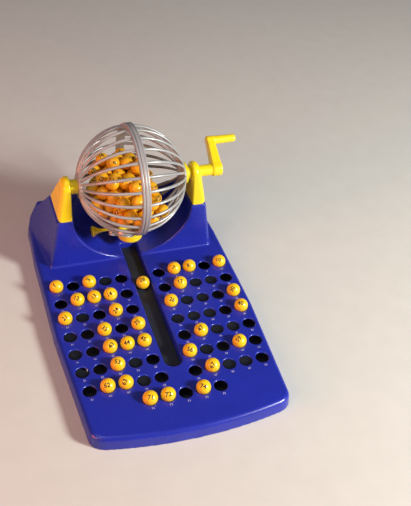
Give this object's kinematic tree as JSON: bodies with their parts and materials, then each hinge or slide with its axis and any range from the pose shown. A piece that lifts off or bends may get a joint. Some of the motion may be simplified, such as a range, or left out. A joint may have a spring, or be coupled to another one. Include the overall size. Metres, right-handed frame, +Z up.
{
  "type": "bingo cage",
  "caption": "Tabletop bingo cage: a cranked ribbed ball cage on a bowl stand, with a catch cup, a ball channel and a numbered board of ball sockets.",
  "frame": {"origin": "middle of the flat underside of the base", "axes": "+Z up, +X towards the crank, +Y from the ball sockets towards the cage"},
  "size_m": [0.2415, 0.361, 0.1756],
  "materials": {
    "blue_plastic": "glossy moulded deep blue",
    "black_plastic": "dark satin moulded",
    "yellow_plastic": "glossy moulded golden yellow",
    "cage_plastic": "satin moulded silver grey",
    "screw_steel": "zinc plated",
    "ball_plastic": "glossy orange yellow with black numbers"
  },
  "bodies": {
    "base": {"base_shell": "blue_plastic", "base_tray": "black_plastic", "base_screws": "screw_steel", "left_cap": "yellow_plastic", "right_cap": "yellow_plastic", "cap_screws": "screw_steel", "catch_cup": "yellow_plastic", "cup_screws": "screw_steel", "lever_pin": "screw_steel", "lever_spring": "screw_steel", "cage_balls": "ball_plastic"},
    "cage": {"cage_left_half": "cage_plastic", "cage_right_half": "cage_plastic", "ring_screws": "screw_steel", "left_hub": "yellow_plastic", "right_hub": "yellow_plastic", "hub_screws": "screw_steel", "crank_handle": "yellow_plastic", "crank_screw": "screw_steel", "exit_port": "cage_plastic", "gate_pin": "screw_steel"},
    "gate": {"exit_gate": "cage_plastic"},
    "lever": {"release_lever": "yellow_plastic"},
    "rolling_ball": {"rolling_ball": "ball_plastic"},
    "called_balls": {"called_balls": "ball_plastic"}
  },
  "joints": [
    {"name": "cage_turn", "type": "hinge", "parent": "base", "child": "cage", "pos_m": [0, 0.09, 0.113], "axis": [1, 0, 0], "continuous": true},
    {"name": "gate_swivel", "type": "hinge", "parent": "cage", "child": "gate", "pos_m": [-0.02842, 0.05952, 0.06422], "axis": [-0.229, -0.5158, -0.8255], "range_deg": [0, 78]},
    {"name": "lever_lift", "type": "hinge", "parent": "base", "child": "lever", "pos_m": [-0.015, 0.09, 0.0445], "axis": [0, 1, 0], "range_deg": [0, 20], "stiffness_Nm_per_rad": 0.005, "springref_deg": -28.65},
    {"name": "ball_roll", "type": "slide", "parent": "base", "child": "rolling_ball", "axis": [0, -0.9998, -0.0214], "range_m": [-0.062, 0.119]},
    {"name": "balls_lift", "type": "slide", "parent": "base", "child": "called_balls", "axis": [0, 0, 1], "range_m": [0, 0.05]}
  ]
}
